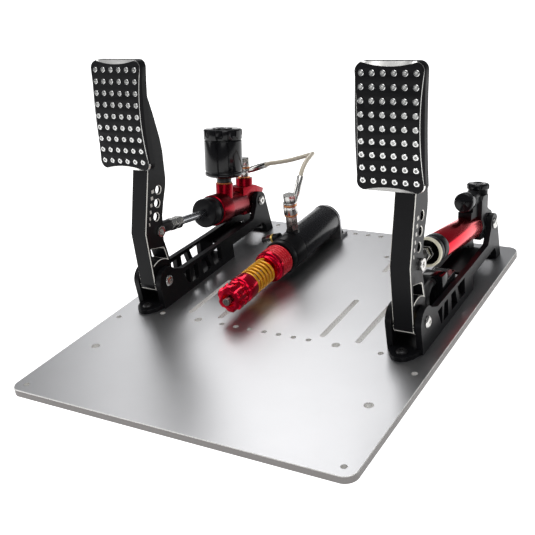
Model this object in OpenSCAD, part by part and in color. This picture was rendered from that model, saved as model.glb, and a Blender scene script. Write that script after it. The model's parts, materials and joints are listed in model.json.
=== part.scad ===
// Two-pedal set for a driving simulator: a slotted base plate that carries a hydraulic brake pedal on
// the left and a damped throttle pedal on the right. Millimetres, +Z up, +X to the driver's right,
// +Y away from the driver. The origin is the middle of the plate's underside.

/* [Base plate] */
// Width of the plate, left to right
plate_w = 405; // [395:1:440]
// Depth of the plate, front to back
plate_d = 490; // [484:1:540]
// Thickness of the plate
plate_t = 8; // [6:0.5:12]
// Radius of the plate's corners
plate_r = 13; // [6:1:20]
// Diameter of the holes in the two cross rows
row_hole_d = 6.5; // [5:0.5:8]
// Pitch of the seven middle holes in each cross row
row_pitch = 18.9; // [16:0.1:19.5]
// Place of the front cross row along the plate
front_row_y = -48.5; // [-54:0.5:-47]
// Place of the rear cross row along the plate
rear_row_y = 232.5; // [225:0.5:234]
// Width of the long slots
slot_w = 7; // [5:0.5:8]
// End-to-end length of the long slots
slot_len = 92; // [70:1:96]
// Distance of the inner slots from the plate's centre line
slot_inner_x = 67.25; // [66:0.25:70]
// Distance of the outer slots from the plate's centre line
slot_outer_x = 110; // [104:0.5:116]

/* [Pedal bases] */
// Distance of each pedal's middle from the plate's centre line
unit_x = 165; // [158:0.5:170]
// Overall width of a base
base_w = 40; // [39.5:0.5:44]
// Thickness of a base's side walls
wall_t = 7; // [5:0.5:7.5]
// Thickness of a base's floor
floor_t = 5; // [3:0.5:7]
// Place of the pedal pivot along the plate
pivot_y = -23.5; // [-27:0.5:-23]
// Height of the pedal pivot above the plate
pivot_h = 31.5; // [30:0.5:36]
// Distance from the pedal pivot back to the rear pivot
rear_run = 223.5; // [222:0.5:226]
// Rise from the pedal pivot up to the rear pivot
rear_rise = 19; // [16:0.5:22]
// Radius of the walls' rounded tops round the pedal pivot
nose_r = 17; // [14:0.5:18]
// Radius of the rear ears round the rear pivot
ear_r = 12; // [10:0.5:14]
// Height of the walls' top rail above the plate
rail_h = 33.5; // [31:0.5:36]
// Radius of the four pivot axles
axle_r = 5; // [4:0.25:5.5]

/* [Pedal arms] */
// Width of an arm
arm_w = 22.5; // [21:0.25:23.5]
// Radius of the bushes' barrels in the arms
bush_r = 8; // [7:0.25:9]
// Distance of the push bolt behind the pedal pivot
push_dy = 9.3; // [8:0.1:11]
// Distance of the push bolt above the pedal pivot
push_dz = 60; // [58:0.5:62]
// Radius of the push bolt
push_r = 4; // [3:0.25:4.5]
// Width of the fork slot in the back of an arm
fork_w = 13.5; // [12:0.5:15]

/* [Pads] */
// Width of a pad
pad_w = 71.5; // [69:0.5:80]
// Height of a pad
pad_h = 125; // [121:1:134]
// Thickness of a pad
pad_t = 11; // [9:0.5:14]
// Radius of a pad's crowned face
pad_crown_r = 470; // [400:10:600]
// Sideways offset of a pad from its arm
pad_shift = -10.7; // [-12:0.1:-9.5]
// Lean of a pad's middle, top away from the driver, in degrees
pad_lean = 6.9; // [4:0.1:9]
// Depth of the scallops in the edges of a pad's raised face
scallop = 3.2; // [1:0.1:4]
// Radius of a grip stud
stud_r = 3; // [2.5:0.1:3.4]
// Pitch of the stud columns
stud_dx = 11.2; // [10.5:0.1:11.8]
// Pitch of the stud rows
stud_dz = 12.95; // [12:0.05:13.4]

/* [Brake master cylinder] */
// Radius of the red cylinder body
cyl_r = 17; // [15:0.5:18]
// Radius of the body's front flange
flange_r = 20.5; // [19.5:0.5:23]
// Radius of the bore
cyl_bore_r = 9.5; // [8:0.25:10]
// Radius of the two port bosses
port_r = 11.5; // [10:0.5:12.5]
// Height of the port bosses above the cylinder's axis
port_h = 32; // [29:0.5:36]
// Radius of the fluid reservoir
res_r = 25; // [20:0.5:26]
// Height of the reservoir without its cap
res_h = 52; // [40:1:70]
// Height of the reservoir cap
cap_h = 13; // [10:0.5:18]
// Radius of the push rods
rod_r = 5; // [4:0.25:5.5]

/* [Slave cylinder] */
// Distance of the slave cylinder's axis from the plate's centre line
slave_x = 51.3; // [49:0.1:55]
// Height of the slave cylinder's axis above the plate
slave_h = 25.5; // [24:0.5:34]
// Radius of the slave cylinder's body
slave_r = 21.4; // [19:0.1:22.5]
// Radius of the slave cylinder's bore
slave_bore_r = 15.5; // [13:0.5:16]
// Radius of the slave shaft
shaft_r = 4.5; // [4:0.25:5.5]
// Outer radius of the red spring
red_coil_r = 20.2; // [18:0.1:21]
// Wire diameter of the red spring
red_wire = 3.4; // [2.8:0.1:3.5]
// Outer radius of the yellow spring
yellow_coil_r = 16; // [15:0.1:17.5]
// Wire diameter of the yellow spring
yellow_wire = 3.8; // [3:0.1:4.4]
// Radius of the preload knob over its lobes
knob_r = 16.5; // [15:0.5:19]

/* [Hose] */
// Radius of the braided hose
hose_r = 2.9; // [2.4:0.1:3.4]
// Radius of the hose's crimped ferrules
ferrule_r = 4.3; // [4:0.1:5]

/* [Throttle damper] */
// Radius of the red damper tube
tube_r = 15; // [14.75:0.25:16]
// Wall of the red damper tube
tube_wall = 2.5; // [1.5:0.25:3.5]
// Radius of the pale rim at the front of the damper
rim_r = 16.3; // [15.8:0.1:17.5]
// Radius of the rear block's top cap
dcap_r = 13.3; // [12:0.1:14]
// Radius of the damping adjuster knob
adj_r = 11.4; // [9:0.1:12]

/* [Clearances] */
// Radial running clearance of a shaft in its bore
run_gap = 0.04; // [0.02:0.01:0.08]
// Radial clearance of a fastener's shank in its hole
screw_gap = 0.1; // [0.05:0.05:0.2]
// Clearance between flat faces that slide past each other
side_gap = 0.2; // [0.1:0.05:0.3]
// Radial clearance of the push bolt in its rod-end ball
pin_gap = 0.45; // [0.4:0.05:0.6]

/* [Hidden] */
$fn = 64;
BRAKE = -1;
THROTTLE = 1;
far = 60;

black_alu = [0.09, 0.09, 0.10];
red_alu = [0.75, 0.03, 0.10];
steel = [0.72, 0.72, 0.74];
copper = [0.72, 0.36, 0.16];

gap_w = base_w - 2*wall_t;
lug_w = gap_w - 3*side_gap;
pivot_z = plate_t + pivot_h;
rear_y = pivot_y + rear_run;
rear_z = pivot_z + rear_rise;

// Line from the push bolt to the rear pivot, on which the cylinder and the damper lie
line_dy = rear_run - push_dy;
line_dz = push_dz - rear_rise;
line_tilt = atan2(line_dz, line_dy);
span = norm([line_dy, line_dz]);

// The plate

// A round-cornered rectangle, centred
module rounded(w, h, r) {
  square([w - 2*r, h], center = true);
  square([w, h - 2*r], center = true);
  for (x = [-1, 1], y = [-1, 1]) translate([x*(w/2 - r), y*(h/2 - r)]) circle(r);
}

// A slot that runs front to back, centred
module slot(w, len) {
  square([w, len - w], center = true);
  for (y = [-1, 1]) translate([0, y*(len - w)/2]) circle(w/2);
}

row_x = [for (i = [-3:3]) i*row_pitch];
corner_in = [14, 13];
wide_hole = [170, -140, 5];
side_hole = [189.5, -73.5];
rear_hole = [52.5, 174];
outrigger_x = 142;
big_hole = [90, 4.75];
front_slot_y = 8.5;
rear_slot_y = 177.5;
plate_edge = 1;

module plate_holes() {
  for (y = [front_row_y, rear_row_y]) {
    for (x = row_x) translate([x, y]) circle(d = row_hole_d);
    for (side = [-1, 1]) {
      translate([side*outrigger_x, y]) circle(d = row_hole_d);
      translate([side*big_hole[0], y]) circle(big_hole[1]);
    }
  }
  for (side = [-1, 1]) {
    translate([side*(plate_w/2 - corner_in[0]), -plate_d/2 + corner_in[1]]) circle(d = row_hole_d);
    translate([side*side_hole[0], side_hole[1]]) circle(d = row_hole_d);
    translate([side*wide_hole[0], wide_hole[1]]) circle(wide_hole[2]);
    translate([side*rear_hole[0], rear_hole[1]]) circle(d = row_hole_d);
    for (x = [slot_inner_x, slot_outer_x], y = [front_slot_y, rear_slot_y])
      translate([side*x, y]) slot(slot_w, slot_len);
  }
}

// Screws that hold the bases and the slave bracket on the plate
screw_r = 3;
head_r = 6;
head_h = 3.4;
screw_len = floor_t + plate_t - 1;
tongue_y = pivot_y - 23.5;
foot_front = rear_y + 6;
foot_back = rear_y + 22.5;
foot_mid = (foot_front + foot_back)/2;
bracket_y = 209.6;
bracket_t = 4;
bracket_foot = 15.2;
bracket_screw_x = 13;
screw_places = concat(
  [for (side = [-1, 1], y = [tongue_y, foot_mid]) [side*unit_x, y]],
  [for (side = [-1, 1]) [-slave_x + side*bracket_screw_x, bracket_y + bracket_t + bracket_foot/2]]);

module at_screws(z) {
  for (p = screw_places) translate([p[0], p[1], z]) children();
}

module base_plate() color([0.72, 0.71, 0.72]) difference() {
  union() {
    linear_extrude(plate_t - plate_edge) rounded(plate_w, plate_d, plate_r);
    linear_extrude(plate_t) rounded(plate_w - plate_edge, plate_d - plate_edge, plate_r - plate_edge/2);
  }
  translate([0, 0, -1]) linear_extrude(plate_t + 2) plate_holes();
  at_screws(-1) cylinder(h = plate_t + 2, r = screw_r + screw_gap);
}

// A button-head screw that points down, its seat at the origin
module button_screw(shank_r, len, r, h, key) {
  difference() {
    rotate_extrude() polygon([[0, 0], [r, 0], [r, h*0.35], [r*0.72, h*0.86], [r*0.5, h], [0, h]]);
    translate([0, 0, h*0.35]) cylinder(h = h, r = key, $fn = 6);
  }
  translate([0, 0, -len]) cylinder(h = len, r = shank_r);
}

module base_screws() color(black_alu)
  at_screws(plate_t + floor_t) button_screw(screw_r, screw_len, head_r, head_h, 2.3);

// The bases

// Puts children at the pedal pivot of one unit
module at_pivot(side) translate([side*unit_x, pivot_y, pivot_z]) children();

// Extrudes an outline drawn in Y and Z to a width centred on X
module side_plate(w) rotate([90, 0, 90]) translate([0, 0, -w/2]) linear_extrude(w) children();

wall_end = 142.5;
rail_t = 5;
sill_h = 9;
bar_low_h = 17.5;
bar_floor_t = 3;
bar_high_h = 31.5;
window_top = rail_h - rail_t;
// Each window: front and back at its top, then front and back at its sill, behind the pedal pivot
windows = [[30, 43.5, 38.5, 41.5], [49.5, 60.5, 45.5, 60.5],
           [70.5, 83.5, 70.5, 89.5], [90.5, 114.5, 96.5, 114.5]];

module wall_outline() difference() {
  union() {
    circle(nose_r);
    translate([rear_run, rear_rise]) circle(ear_r);
    polygon([[2.5 - nose_r, -pivot_h], [-nose_r, 0], [0, nose_r], [nose_r*0.8, nose_r*0.6],
             [30, rail_h - pivot_h + 1], [wall_end - 4, rail_h - pivot_h - 2],
             [wall_end, bar_high_h - pivot_h], [rear_run - ear_r - 12, bar_high_h - pivot_h],
             [rear_run - ear_r, rear_rise - 2], [rear_run - ear_r*0.8, rear_rise + ear_r*0.6],
             [rear_run + ear_r, rear_rise], [foot_back - pivot_y, -pivot_h],
             [foot_front - pivot_y, -pivot_h], [foot_front - pivot_y, bar_low_h - 8 - pivot_h],
             [foot_front - pivot_y - 6, bar_low_h - pivot_h], [wall_end, bar_low_h - pivot_h],
             [wall_end, -pivot_h]]);
  }
  for (w = windows)
    polygon([[w[0], window_top - pivot_h], [w[1], window_top - pivot_h],
             [w[3], sill_h - pivot_h], [w[2], sill_h - pivot_h]]);
}

module floor_outline() {
  front = tongue_y - pivot_y;
  polygon([[-gap_w/2 - 1, -nose_r], [-base_w/2 + 2.5, -nose_r + 2], [-13.5, front - 2], [-8, front - 9],
           [-3, front - 11.5], [3, front - 11.5], [8, front - 9], [13.5, front - 2],
           [base_w/2 - 2.5, -nose_r + 2], [gap_w/2 + 1, wall_end], [-gap_w/2 - 1, wall_end]]);
  translate([-gap_w/2 - 1, foot_front - pivot_y]) square([gap_w + 2, foot_back - foot_front]);
}

module base(side) color(black_alu) difference() {
  union() {
    at_pivot(side) for (wall = [-1, 1])
      translate([wall*(base_w - wall_t)/2, 0, 0]) side_plate(wall_t) wall_outline();
    translate([side*unit_x, pivot_y, plate_t]) linear_extrude(floor_t) floor_outline();
    // The bars' own floor, raised off the plate
    translate([side*unit_x - gap_w/2 - 1, pivot_y + wall_end - 2, bar_low_h])
      cube([gap_w + 2, rear_run - ear_r - wall_end, bar_floor_t]);
  }
  at_pivot(side) for (p = [[0, 0], [rear_run, rear_rise]])
    translate([-far, p[0], p[1]]) rotate([0, 90, 0]) cylinder(h = 2*far, r = axle_r + run_gap);
  for (y = [tongue_y, foot_mid])
    translate([side*unit_x, y, plate_t - 1]) cylinder(h = floor_t + 2, r = screw_r + screw_gap);
}

// Pivots, shared by both units

axle_screw_r = 3;
axle_screw_len = 14;
axle_head_r = 6.7;
axle_head_h = 3.2;
bush_flange_t = (gap_w - arm_w)/2 - side_gap;
bush_len = 9;

module at_axles() {
  for (side = [-1, 1], p = [[0, 0], [rear_run, rear_rise]])
    at_pivot(side) translate([0, p[0], p[1]]) rotate([0, 90, 0]) children();
}

module pivot_axles() color(steel) at_axles() difference() {
  translate([0, 0, -base_w/2]) cylinder(h = base_w, r = axle_r);
  for (end = [0, 180]) rotate([end, 0, 0]) translate([0, 0, base_w/2 - axle_screw_len - 1])
    cylinder(h = far, r = axle_screw_r + run_gap);
}

module pivot_screws() color(steel) at_axles() for (end = [0, 180])
  rotate([end, 0, 0]) translate([0, 0, base_w/2])
    button_screw(axle_screw_r, axle_screw_len, axle_head_r, axle_head_h, 2.3);

// Flanged bushes that stand on the front axles and carry the arms
module pivot_bushes() color([0.62, 0.52, 0.30]) for (side = [-1, 1], end = [0, 180])
  at_pivot(side) rotate([0, 90, end]) difference() {
    union() {
      translate([0, 0, arm_w/2 - bush_len]) cylinder(h = bush_len + side_gap/2, r = bush_r);
      translate([0, 0, arm_w/2 + side_gap/2]) cylinder(h = bush_flange_t, r = bush_r + 3);
    }
    cylinder(h = far, r = axle_r + run_gap);
  }

// Pads, in a frame whose origin is the middle of the crowned face and whose +Y points into the pad

pad_mid = [-1, 202.8];
pad_corner_r = 9;
face_h = 3;

module at_pad(side) at_pivot(side) translate([pad_shift, pad_mid[0], pad_mid[1]])
  rotate([-pad_lean, 0, 0]) children();

// Solid cylinder along X whose front lies a given depth below the crowned face
module crown(depth) translate([-far, pad_crown_r, 0]) rotate([0, 90, 0])
  cylinder(h = 2*far, r = pad_crown_r - depth, $fn = 256);

// Layer of the pad between two depths, cut to an outline drawn across its face
module pad_layer(from, to) difference() {
  intersection() {
    rotate([90, 0, 0]) translate([0, 0, -far]) linear_extrude(2*far) children();
    crown(from);
  }
  crown(to);
}

// Outline with each side drawn in by a shallow arc
module scalloped(w, h, depth) difference() {
  rounded(w, h, pad_corner_r - 0.8);
  for (side = [-1, 1]) {
    end_depth = 1.25*depth;
    r_side = (pow(h*0.43, 2) + depth*depth)/(2*depth);
    r_end = (pow(w*0.4, 2) + end_depth*end_depth)/(2*end_depth);
    translate([side*(w/2 - depth + r_side), 0]) circle(r_side, $fn = 256);
    translate([0, side*(h/2 - end_depth + r_end)]) circle(r_end, $fn = 256);
  }
}

// Puts children at each stud, with +Z out of the face
module at_studs() for (row = [-4:4], col = [-2.5:2.5])
  translate([col*stud_dx, pad_crown_r, 0]) rotate([-row*stud_dz/pad_crown_r*180/PI, 0, 0])
    translate([0, -pad_crown_r, 0]) rotate([90, 0, 0]) children();

stud_out = 1.2;
stud_in = 7;
pad_screw_rows = [1.5, -2.5];
pad_screw_seat = pad_t + 7;
pad_screw_r = 3;
pad_screw_head_r = 5;
pad_screw_head_h = 6;
pad_screw_depth = 4;

// Puts children on the axis of each screw from the arm into the pad, +Z away from the driver
module at_pad_screws() for (row = pad_screw_rows)
  translate([-pad_shift, 0, row*stud_dz]) rotate([-90, 0, 0]) children();

module pad(side) color(black_alu) at_pad(side) difference() {
  union() {
    pad_layer(face_h, pad_t) rounded(pad_w, pad_h, pad_corner_r);
    pad_layer(0, face_h + 0.5) scalloped(pad_w - 1.6, pad_h - 1.6, scallop);
  }
  at_studs() translate([0, 0, -stud_in]) cylinder(h = far, r = stud_r + run_gap);
  at_pad_screws() translate([0, 0, pad_screw_depth]) cylinder(h = far, r = pad_screw_r + run_gap);
}

module pad_studs(side) color(steel) at_pad(side) at_studs() difference() {
  union() {
    translate([0, 0, -stud_in]) cylinder(h = stud_in + stud_out - 0.5, r = stud_r, $fn = 24);
    translate([0, 0, stud_out - 0.5]) cylinder(h = 0.5, r1 = stud_r, r2 = stud_r - 0.5, $fn = 24);
  }
  translate([0, 0, -2]) cylinder(h = far, r = 1.75, $fn = 6);
}

module pad_screws(side) color(steel) at_pad(side) at_pad_screws() difference() {
  union() {
    translate([0, 0, pad_screw_depth]) cylinder(h = pad_screw_seat - pad_screw_depth, r = pad_screw_r);
    translate([0, 0, pad_screw_seat]) cylinder(h = pad_screw_head_h, r = pad_screw_head_r);
  }
  translate([0, 0, pad_screw_seat + 2.5]) cylinder(h = far, r = 2.9, $fn = 6);
}

// Arms

link_ring_r = 11.5;
web_t = 4.5;
arm_front = nose_r - 1;
arm_top = pad_mid[1] + pad_h*0.345;
// Spare holes above the push bolt, which move the rod end to change the pedal's feel
spare_holes = [[8.7, 78.9], [14.4, 93.9], [20.6, 108.6]];
spare_hole_r = 4.9;

module arm_outline() difference() {
  union() {
    circle(nose_r - 1);
    polygon([[-arm_front, -6.5], [-arm_front, 65.5], [8, 137.5], [8, 150], [-40, 160],
             [-40, arm_top], [27.5, arm_top], [29.5, 222.5], [34.5, 198.8], [39.6, 167],
             [40.6, 150], [38.6, 128], [38, 118.5], [35.2, 108.5], [26.5, 91], [20.5, 77],
             [push_dy + push_r + 3.7, 59], [15, 46.5], [18.5, 30.5], [20, 18], [18, 0], [12, -10], [-10, -12]]);
  }
  difference() {
    polygon([[-arm_front + web_t, 5], [-arm_front + web_t, push_dz - link_ring_r - 3.5],
             [10.5, 38.5], [12.5, 36.5], [16, 20], [16, 5]]);
    circle(nose_r + 9);
  }
}

module fork_outline() polygon([[push_dy - link_ring_r - 1, push_dz - link_ring_r - 1],
  [push_dy - link_ring_r - 1, push_dz + 9], [14.5, 116.5], [far, 116.5],
  [far, push_dz - link_ring_r - 4]]);

module arm(side) color(black_alu) difference() {
  at_pivot(side) side_plate(arm_w) arm_outline();
  at_pad(side) translate([-pad_shift, 0, 0]) difference() {
    translate([-far, -far, -pad_h/2 - 2]) cube([2*far, 4*far, pad_h + 4]);
    crown(pad_t + run_gap);
  }
  at_pivot(side) side_plate(fork_w) fork_outline();
  at_pivot(side) translate([-far, 0, 0]) rotate([0, 90, 0]) {
    cylinder(h = 2*far, r = bush_r + run_gap);
    translate([-push_dz, push_dy, 0]) cylinder(h = 2*far, r = push_r + run_gap);
    for (p = spare_holes) translate([-p[1], p[0], 0]) cylinder(h = 2*far, r = spare_hole_r);
  }
  at_pad(side) at_pad_screws() {
    cylinder(h = far, r = pad_screw_r + run_gap);
    translate([0, 0, pad_screw_seat]) cylinder(h = far, r = pad_screw_head_r + 0.4);
  }
}

push_head_r = 6.5;
push_head_h = 4;

module push_bolt(side) color(steel) at_pivot(side) translate([0, push_dy, push_dz])
  rotate([0, 90, 0]) difference() {
    union() {
      translate([0, 0, -arm_w/2]) cylinder(h = arm_w + 0.5, r = push_r);
      translate([0, 0, arm_w/2]) cylinder(h = push_head_h, r = push_head_r);
    }
    translate([0, 0, arm_w/2 + 1.5]) cylinder(h = far, r = 3.4, $fn = 6);
  }

// Rods, in a frame that starts at the push bolt and runs along +Y to the rear pivot

module on_line(side) at_pivot(side) translate([0, push_dy, push_dz]) rotate([-line_tilt, 0, 0])
  children();

// A cylinder along +Y from one place on the line to another
module round_bar(from, to, r) translate([0, from, 0]) rotate([-90, 0, 0]) cylinder(h = to - from, r = r);

// A turned shape about the line, from [place, radius] pairs
module turned(points) rotate([-90, 0, 0]) rotate_extrude() polygon(
  concat([[0, points[0][0]]], [for (p = points) [p[1], p[0]]], [[0, points[len(points) - 1][0]]]));

ball_w = fork_w - 2*side_gap;
ball_r = 8;
eye_w = 9;
shank_end = 32;
nut_t = 10;
nut_r = 8.2;
nut_places = [shank_end + 1, shank_end + 13];
rod_start = 14;

// A slice of a ball about the X axis: radius, width and bore
module ball_zone(r, w, bore) rotate([0, 90, 0]) rotate_extrude() intersection() {
  circle(r, $fn = 96);
  translate([bore, -w/2]) square([r, w]);
}

module rod_ball(side) color(steel) on_line(side) ball_zone(ball_r, ball_w, push_r + pin_gap);

module rod_end(side) color(black_alu) on_line(side) difference() {
  union() {
    translate([-eye_w/2, 0, 0]) rotate([0, 90, 0]) cylinder(h = eye_w, r = link_ring_r);
    intersection() {
      round_bar(ball_r + 1, shank_end, 7.5);
      translate([-6, 0, -far]) cube([12, far, 2*far]);
    }
  }
  ball_zone(ball_r + run_gap, eye_w + 2, 0);
  round_bar(rod_start, far, rod_r + run_gap);
}

module rod_nuts(side) color(steel) on_line(side) for (s = nut_places) difference() {
  translate([0, s, 0]) rotate([-90, 0, 0]) cylinder(h = nut_t, r = nut_r, $fn = 6);
  round_bar(s - 1, s + nut_t + 1, rod_r + run_gap);
}

// Brake master cylinder, its places counted back from the rear pivot

boot_front = span - 110;
flange_front = span - 91;
body_front = span - 66;
lug_front = span - 25;
supply_s = span - 60;
outlet_s = span - 11;
lug_r = 16;
boot_r = 19;
bore_end = span - 22;
piston_front = body_front - 4;
piston_len = 14;
seal_t = 1.6;
stem_r = 9.75;
stem_h = 6;
res_base = port_h + seal_t + stem_h;

module brake_push_rod() color(steel) on_line(BRAKE) round_bar(rod_start, piston_front, rod_r);

module cylinder_boot() color(black_alu) on_line(BRAKE) difference() {
  turned([[boot_front, boot_r - 1], [boot_front + 1, boot_r], [boot_front + 13.5, boot_r],
          [boot_front + 14, boot_r - 0.8], [boot_front + 15.5, boot_r - 0.8],
          [boot_front + 16, boot_r], [flange_front, boot_r]]);
  round_bar(boot_front - 1, flange_front + 1, rod_r + 0.3);
  round_bar(boot_front + 6, flange_front + 1, rod_r + 3);
}

module port(s, top) translate([0, s, 0]) cylinder(h = top, r = port_r);

module cylinder_body() color(red_alu) on_line(BRAKE) difference() {
  union() {
    turned([[flange_front, flange_r - 1], [flange_front + 1, flange_r], [body_front - 1, flange_r],
            [body_front, flange_r - 1], [body_front, cyl_r], [lug_front, cyl_r]]);
    intersection() {
      union() {
        translate([0, lug_front - 8, 0]) side_plate(lug_w) polygon([[0, 0.6 - lug_r], [0, lug_r + 6],
          [30, lug_r + 6], [52, lug_r - 2], [45, 0], [span - lug_front + 11, 0.6 - lug_r]]);
        translate([-lug_w/2, span, 0]) rotate([0, 90, 0]) cylinder(h = lug_w, r = lug_r);
      }
      translate([-lug_w/2, 0, -far]) cube([lug_w, 6*far, 2*far]);
    }
    port(supply_s, port_h);
    port(outlet_s, port_h);
  }
  round_bar(0, bore_end, cyl_bore_r);
  translate([0, supply_s, cyl_bore_r/2]) cylinder(h = far, r = 3);
  translate([0, outlet_s, 7]) cylinder(h = far, r = 5 + screw_gap);
  translate([0, bore_end - 3, 10]) rotate([-90, 0, 0]) cylinder(h = 15, r = 2);
  translate([-far, span, 0]) rotate([0, 90, 0]) cylinder(h = 2*far, r = axle_r + run_gap);
}

module cylinder_piston() color(steel) on_line(BRAKE)
  turned([[piston_front, cyl_bore_r - run_gap], [piston_front + 4, cyl_bore_r - run_gap],
          [piston_front + 4, cyl_bore_r - 3], [piston_front + 9, cyl_bore_r - 3],
          [piston_front + 9, cyl_bore_r - run_gap], [piston_front + piston_len, cyl_bore_r - run_gap]]);

// A coil spring along +Y as one unbroken tube: place of its front, length, outer radius, wire
// diameter and number of turns. Six-sided wire, eight rings to a turn.
function coil_point(i, steps, length, radius, wire, turns) =
  [radius*sin(360*turns*i/steps), wire/2 + (length - wire)*i/steps, radius*cos(360*turns*i/steps)];

function coil_points(length, outer, wire, turns, steps) =
  [for (i = [0:steps], k = [0:5]) let (
    c = coil_point(i, steps, length, outer - wire/2, wire, turns),
    out = [sin(360*turns*i/steps), 0, cos(360*turns*i/steps)])
    c + wire/2*(cos(60*k)*out + sin(60*k)*[0, 1, 0])];

// Least gap between neighbouring turns, measured from point to point of the wire's middle
function coil_gap(length, outer, wire, turns, steps, per) = min([for (i = [0:steps - per])
  norm(coil_point(i, steps, length, outer - wire/2, wire, turns)
       - coil_point(i + per, steps, length, outer - wire/2, wire, turns))]) - wire;

module coil(length, outer, wire, turns) {
  per = 8;
  steps = ceil(turns*per);
  sides = [for (i = [0:steps - 1], k = [0:5]) let (a = i*6 + k, b = i*6 + (k + 1)%6)
    each [[a, b, a + 6], [b, b + 6, a + 6]]];
  ends = [for (k = [1:4]) each [[0, k + 1, k], [steps*6, steps*6 + k, steps*6 + k + 1]]];
  echo(least_gap = coil_gap(length, outer, wire, turns, steps, per));
  polyhedron(coil_points(length, outer, wire, turns, steps), concat(sides, ends));
}

seat_gap = 0.2;

module cylinder_spring() color(steel) on_line(BRAKE)
  translate([0, piston_front + piston_len + seat_gap, 0])
    coil(bore_end - piston_front - piston_len - 2*seat_gap, cyl_bore_r - 0.7, 1.8, 5);

// Turned parts that stand on the supply port, with +Z away from the cylinder
module on_port(s, h) on_line(BRAKE) translate([0, s, h]) children();

module reservoir_seal() color([0.85, 0.38, 0.12]) on_port(supply_s, port_h) difference() {
  cylinder(h = seal_t, r = stem_r + 0.7);
  translate([0, 0, -1]) cylinder(h = seal_t + 2, r = 4);
}

module reservoir_adapter() color(black_alu) on_port(supply_s, port_h + seal_t) difference() {
  cylinder(h = stem_h, r = stem_r);
  translate([0, 0, -1]) cylinder(h = stem_h + 2, r = 3);
}

module reservoir() color(black_alu) on_port(supply_s, res_base) rotate_extrude()
  polygon([[3, 0], [12, 0], [res_r - 4, 2], [res_r, 4.5], [res_r, 8], [res_r - 0.8, 8.6],
           [res_r - 0.8, 10], [res_r, 10.6], [res_r, res_h - 2], [res_r - 1, res_h - 1.4],
           [res_r - 1, res_h], [res_r - 4, res_h], [res_r - 4, 7], [res_r - 6, 5], [3, 4]]);

cap_notch_w = 9;
cap_notch_h = 6;

module reservoir_cap() color(black_alu) on_port(supply_s, res_base + res_h) difference() {
  union() {
    rotate_extrude() polygon([[0, 1], [res_r - 4 - side_gap, 1], [res_r - 4 - side_gap, 0],
      [res_r + 0.5, 0], [res_r + 0.5, cap_h - 1.5], [res_r - 1, cap_h], [13, cap_h],
      [12.5, cap_h + 1.2], [0, cap_h + 1.2]]);
  }
  for (turn = [22.5:45:359]) rotate([0, 0, turn]) translate([res_r - 1, -cap_notch_w/2, cap_h - 1.5 - cap_notch_h])
    cube([5, cap_notch_w, cap_notch_h + 5]);
  for (turn = [0:90:359]) rotate([0, 0, turn]) translate([9, 0, cap_h]) cylinder(h = 5, r = 2);
}

// Banjo joints: copper washer, ring of the hose end, copper washer and the bolt's head

washer_t = 2.6;
washer_r = 8.4;
ring_h = 10.6;
ring_r = 8.8;
banjo_r = 5;
banjo_head_r = 8.4;
banjo_head_h = 12.2;

module copper_pair() color(copper) for (z = [0, washer_t + ring_h]) translate([0, 0, z]) difference() {
  cylinder(h = washer_t, r = washer_r);
  translate([0, 0, -1]) cylinder(h = washer_t + 2, r = banjo_r + run_gap);
}

module banjo_bolt(depth) color(steel) {
  translate([0, 0, -depth]) cylinder(h = depth + 2*washer_t + ring_h, r = banjo_r);
  translate([0, 0, 2*washer_t + ring_h]) {
    cylinder(h = 2, r = banjo_head_r);
    cylinder(h = banjo_head_h, r = banjo_head_r, $fn = 6);
  }
}

module cylinder_banjo_bolt() on_port(outlet_s, port_h) banjo_bolt(16);
module cylinder_copper_washers() on_port(outlet_s, port_h) copper_pair();

adapter_r = 8.2;
adapter_h = 19.7;
port_y = 122;
slave_z = plate_t + slave_h;
slave_port_h = slave_r + 1.6;
port_stub_r = 4;
port_stub = 5;

module at_slave_port(h) translate([-slave_x, port_y, slave_z + h]) children();

module slave_adapter() color([0.36, 0.34, 0.33]) at_slave_port(slave_port_h) difference() {
  union() {
    cylinder(h = adapter_h, r = adapter_r, $fn = 6);
    translate([0, 0, -port_stub]) cylinder(h = port_stub + 1, r = port_stub_r);
  }
  translate([0, 0, adapter_h - 9]) cylinder(h = far, r = banjo_r + run_gap);
}

module slave_copper_washers() at_slave_port(slave_port_h + adapter_h) copper_pair();
module slave_banjo_bolt() at_slave_port(slave_port_h + adapter_h) banjo_bolt(8);

// The hose's two ends: the ring's middle, the step back from it to the elbow, the direction from
// there and the lengths to the ferrule's two ends
out_ring = [-unit_x, rear_y + (outlet_s - span)*cos(line_tilt) + (port_h + washer_t + ring_h/2)*sin(line_tilt),
            rear_z - (outlet_s - span)*sin(line_tilt) + (port_h + washer_t + ring_h/2)*cos(line_tilt)];
in_ring = [-slave_x, port_y, slave_z + slave_port_h + adapter_h + washer_t + ring_h/2];
out_dir = [37, 5, 12]/norm([37, 5, 12]);
in_dir = [0, 14.6, 18.4]/norm([0, 14.6, 18.4]);
out_reach = [13, 37];
in_reach = [17.5, 41];
out_elbow = 0;
in_elbow = 8;
neck_r = 3.6;
neck_root = 3.3;

// Turns +Z to a direction
module aim(d) rotate([0, acos(d[2]), atan2(d[1], d[0])]) children();

module hose_end(place, dir, reach, elbow, ring_tilt) color([0.80, 0.80, 0.82]) translate(place)
  difference() {
    union() {
      rotate([ring_tilt, 0, 0]) cylinder(h = ring_h, r = ring_r, center = true);
      translate([0, elbow, 0]) aim(dir) {
        translate([0, 0, -neck_root]) cylinder(h = neck_root + reach[0] + 1, r = neck_r);
        translate([0, 0, reach[0]]) cylinder(h = reach[1] - reach[0], r = ferrule_r);
      }
    }
    rotate([ring_tilt, 0, 0]) {
      cylinder(h = far, r = banjo_r + run_gap, center = true);
      for (end = [0, 180]) rotate([end, 0, 0]) translate([0, 0, ring_h/2])
        cylinder(h = 30, r = washer_r + 0.3);
    }
  }

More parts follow.
